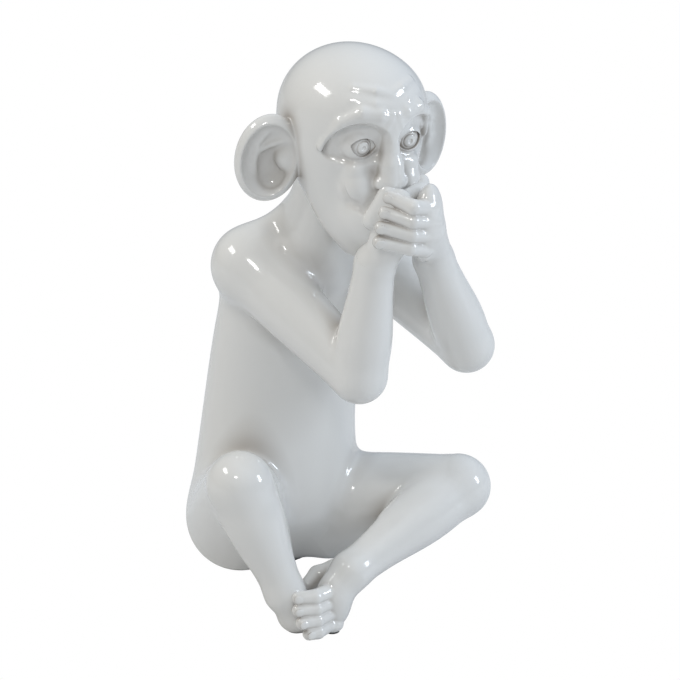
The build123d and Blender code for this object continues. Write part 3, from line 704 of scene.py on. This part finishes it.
def surface_net(field, low, high, cell):
    """Points and quads of the zero surface of a field inside a box."""
    block = CELLS_PER_BLOCK
    span = block * cell
    low = np.asarray(low, float)
    counts = np.ceil((np.asarray(high, float) - low) / span).astype(int)
    blocks = np.stack(np.meshgrid(*map(np.arange, counts), indexing="ij"), -1).reshape(-1, 3)
    near = np.abs(field(low + (blocks + 0.5) * span)) < NEAR_BLOCK * span
    blocks = blocks[near]
    steps = np.stack(np.meshgrid(*[np.arange(block + 1)] * 3, indexing="ij"), -1).reshape(-1, 3)
    shape = (block + 1,) * 3
    size = counts * block + 2
    cells, edges = [], []
    for first in range(0, len(blocks), BLOCKS_AT_ONCE):
        part = blocks[first:first + BLOCKS_AT_ONCE]
        corner = part[:, None, :] * block + steps[None]
        inside = field((low + corner * cell).reshape(-1, 3)).reshape((-1,) + shape) < 0
        total = sum(
            inside[:, i:i + block, j:j + block, k:k + block].astype(int)
            for i in (0, 1) for j in (0, 1) for k in (0, 1)
        )
        found = np.argwhere((total > 0) & (total < 8))
        cells.append(part[found[:, 0]] * block + found[:, 1:])
        for axis in range(3):
            here = inside[:, :block, :block, :block]
            ahead = [slice(1, block + 1) if axis == other else slice(0, block) for other in range(3)]
            there = inside[(slice(None), *ahead)]
            cross = np.argwhere(here != there)
            start = part[cross[:, 0]] * block + cross[:, 1:]
            leaving = here[tuple(cross.T)]
            edges.append((axis, start, leaving))
    cells = np.concatenate(cells)
    key = (cells[:, 0] * size[1] + cells[:, 1]) * size[2] + cells[:, 2]
    order = np.argsort(key)
    cells, key = cells[order], key[order]
    quads = []
    for axis, start, leaving in edges:
        a, b = np.eye(3, dtype=int)[(axis + 1) % 3], np.eye(3, dtype=int)[(axis + 2) % 3]
        ring = np.stack([start - a - b, start - b, start, start - a], 1)
        wanted = (ring[..., 0] * size[1] + ring[..., 1]) * size[2] + ring[..., 2]
        index = np.clip(np.searchsorted(key, wanted), 0, len(key) - 1)
        good = (key[index] == wanted).all(1)
        index = np.where(leaving[:, None], index, index[:, ::-1])
        quads.append(index[good])
    points = low + (cells + 0.5) * cell
    for _ in range(SETTLING_ROUNDS):
        distance, normal = slope(field, points)
        points = points - np.clip(distance, -cell, cell)[:, None] * normal
    return points, np.concatenate(quads)


def cut(points, triangles, keep):
    """Part of a triangle mesh where keep is above zero, split along its zero line."""
    inside = keep > 0
    count = inside[triangles].sum(1)
    pieces = [triangles[count == 3]]
    new_points, cache = [], {}

    def split(a, b):
        pair = (a, b) if a < b else (b, a)
        if pair not in cache:
            share = keep[pair[0]] / (keep[pair[0]] - keep[pair[1]])
            cache[pair] = len(points) + len(new_points)
            new_points.append(points[pair[0]] * (1 - share) + points[pair[1]] * share)
        return cache[pair]

    extra = []
    for triangle in triangles[(count == 1) | (count == 2)].tolist():
        lone = 1 if inside[triangle].sum() == 1 else 0
        at = [int(inside[v]) for v in triangle].index(lone)
        a, b, c = triangle[at:] + triangle[:at]
        ab, ac = split(a, b), split(a, c)
        extra += [(a, ab, ac)] if lone else [(ab, b, c), (ab, c, ac)]
    if extra:
        pieces.append(np.array(extra, int))
        points = np.concatenate([points, np.array(new_points)])
    return points, np.concatenate(pieces)


SEAT_DEPTH = 1.2


def seats(triangles, points, skin_normals):
    """Closing faces for each open rim, sunk under the skin, with points of their own."""
    edges = np.concatenate([triangles[:, [0, 1]], triangles[:, [1, 2]], triangles[:, [2, 0]]])
    known = set(map(tuple, edges.tolist()))
    rim = [edge for edge in known if (edge[1], edge[0]) not in known]
    after = dict(rim)
    loops, seen = [], set()
    for start in sorted(after):
        if start in seen:
            continue
        loop, spot = [], start
        while spot in after and spot not in seen:
            seen.add(spot)
            loop.append(spot)
            spot = after[spot]
        loops.append(loop)
    new_points, new_normals, faces = [], [], []
    base = len(points)
    for loop in loops:
        if len(loop) < 3:
            continue
        ring = points[loop]
        sunk = ring - skin_normals[loop] * SEAT_DEPTH
        middle = sunk.mean(0)
        area = np.cross(np.roll(sunk, -1, 0) - middle, sunk - middle).sum(0)
        normal = area / max(np.linalg.norm(area), 1e-9)
        n, first = len(loop), base + len(new_points)
        new_points += list(ring) + list(sunk) + [middle]
        new_normals += [normal] * (2 * n + 1)
        for i in range(n):
            a, b = first + i, first + (i + 1) % n
            faces += [(b, a, a + n), (b, a + n, b + n), (b + n, a + n, first + 2 * n)]
    return new_points, new_normals, faces


def run_together(form, neighbours):
    """Field of a form and its neighbours, each joined to it over a width."""
    def field(P):
        value = form(P)
        for neighbour, width in neighbours:
            value = join(value, neighbour(P), width)
        return value
    return field


TUCK = 1.5


def clear_of(form, others):
    """Form with what lies deeper than the tuck inside others taken away."""
    def field(P):
        value = form(P)
        for other in others:
            value = np.maximum(value, -other(P) - TUCK)
        return value
    return field


WELL_INSIDE = 9.0
SHADE_REACHES = (2.5, 9, 24)       # distances out from the skin at which the painted crease shade samples the form


def cast(name, form, material, low, high, cell, meets, behind=(), limits=(), node_name=None):
    """Lacquered piece that stands for a CAD node, kept where it is nearer than its neighbours."""
    neighbours = [(FORMS[other], width) for other, width in meets.items()]
    field = clear_of(run_together(form, neighbours), [FORMS[other] for other in behind])
    points, quads = surface_net(field, low, high, cell)
    triangles = np.concatenate([quads[:, [0, 1, 2]], quads[:, [0, 2, 3]]])
    kept = np.full(len(points), WELL_INSIDE)
    if neighbours:
        own = form(points) - OVERLAP
        for neighbour, _ in neighbours:
            kept = np.minimum(kept, neighbour(points) - own)
    for limit in limits:
        kept = np.minimum(kept, limit(points))
    points, triangles = cut(points, triangles, kept)
    used, triangles = np.unique(triangles, return_inverse=True)
    points, triangles = points[used], triangles.reshape(-1, 3)
    normals = slope(field, points)[1]
    # Painted shade: the more closely the form lies round a point, the darker and warmer its colour is
    # painted
    crease_shade = sum(np.clip(1 - field(points + normals * reach) / reach, 0, 1) for reach in SHADE_REACHES)
    crease_shade /= len(SHADE_REACHES)
    seat_points, seat_normals, seat_faces = seats(triangles, points, normals)
    everything = np.concatenate([points, np.array(seat_points).reshape(-1, 3)])
    all_normals = np.concatenate([normals, np.array(seat_normals).reshape(-1, 3)])
    mesh = bpy.data.meshes.new(name + "_skin")
    mesh.from_pydata(((everything - MARK) / 1000).tolist(), [], triangles.tolist() + seat_faces)
    mesh.polygons.foreach_set("use_smooth", [True] * len(mesh.polygons))
    # The painted crease shade goes onto the mesh as a point attribute
    depth = mesh.attributes.new("crease_shade", "FLOAT", "POINT")
    depth.data.foreach_set("value", np.concatenate([crease_shade, np.zeros(len(seat_points))]).astype(np.float32))
    mesh.normals_split_custom_set_from_vertices(all_normals.tolist())
    mesh.materials.append(material)
    piece = bpy.data.objects.new(name + "_skin", mesh)
    scene.collection.objects.link(piece)
    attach(piece, "root")
    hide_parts(node_name or name)


for piece_to_cast in CASTINGS:
    cast(**piece_to_cast)


# Felt, plate and pins
# Pressed black felt glued under the seat and both feet, a resin board in the seat, and drawn
# steel pins and sleeve inside the joints. These are the CAD solids.
felt, tree, out = node_material("felt")
place = node(tree, "ShaderNodeTexCoord").outputs["Object"]
fibres = node(tree, "ShaderNodeTexNoise", Vector=place, Scale=1500.0, Detail=6.0)
fuzz = node(tree, "ShaderNodeMapRange", Value=fibres.outputs["Fac"])
fuzz.inputs["To Min"].default_value = 0.02
fuzz.inputs["To Max"].default_value = 0.06
bump = node(tree, "ShaderNodeBump", Height=fibres.outputs["Fac"], Strength=0.8, Distance=0.0004)
cloth = node(tree, "ShaderNodeBsdfPrincipled", Roughness=1.0, Normal=bump.outputs[0])
cloth.inputs["Sheen Weight"].default_value = 0.3
tree.links.new(fuzz.outputs["Result"], cloth.inputs["Base Color"])
tree.links.new(cloth.outputs[0], out.inputs["Surface"])

board, tree, out = node_material("board")
place = node(tree, "ShaderNodeTexCoord").outputs["Object"]
specks = node(tree, "ShaderNodeTexVoronoi", Vector=place, Scale=600.0)
tone = node(tree, "ShaderNodeMapRange", Value=specks.outputs["Distance"])
tone.inputs["To Min"].default_value = 0.42
tone.inputs["To Max"].default_value = 0.55
resin = node(tree, "ShaderNodeBsdfPrincipled", Roughness=0.7)
tree.links.new(tone.outputs["Result"], resin.inputs["Base Color"])
tree.links.new(resin.outputs[0], out.inputs["Surface"])

steel, tree, out = node_material("drawn_steel")
place = node(tree, "ShaderNodeTexCoord").outputs["Object"]
stretch = node(tree, "ShaderNodeMapping", Vector=place, Scale=(900.0, 900.0, 40.0))
draw = node(tree, "ShaderNodeTexNoise", Vector=stretch.outputs[0], Scale=1.0, Detail=3.0)
rough = node(tree, "ShaderNodeMapRange", Value=draw.outputs["Fac"])
rough.inputs["To Min"].default_value = 0.28
rough.inputs["To Max"].default_value = 0.46
metal = node(tree, "ShaderNodeBsdfPrincipled", Metallic=1.0, Roughness=rough.outputs["Result"])
metal.inputs["Base Color"].default_value = (0.62, 0.62, 0.63, 1)
tree.links.new(metal.outputs[0], out.inputs["Surface"])

for name, finish in (
    ("base_felt", felt), ("foot_felts", felt), ("base_plate", board), ("neck_sleeve", steel),
    ("shoulder_pins", steel), ("hip_pins", steel), ("wrist_pins", steel), ("ankle_pins", steel),
    ("ear_pins", steel),
):
    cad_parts[name].data.materials.clear()
    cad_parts[name].data.materials.append(finish)
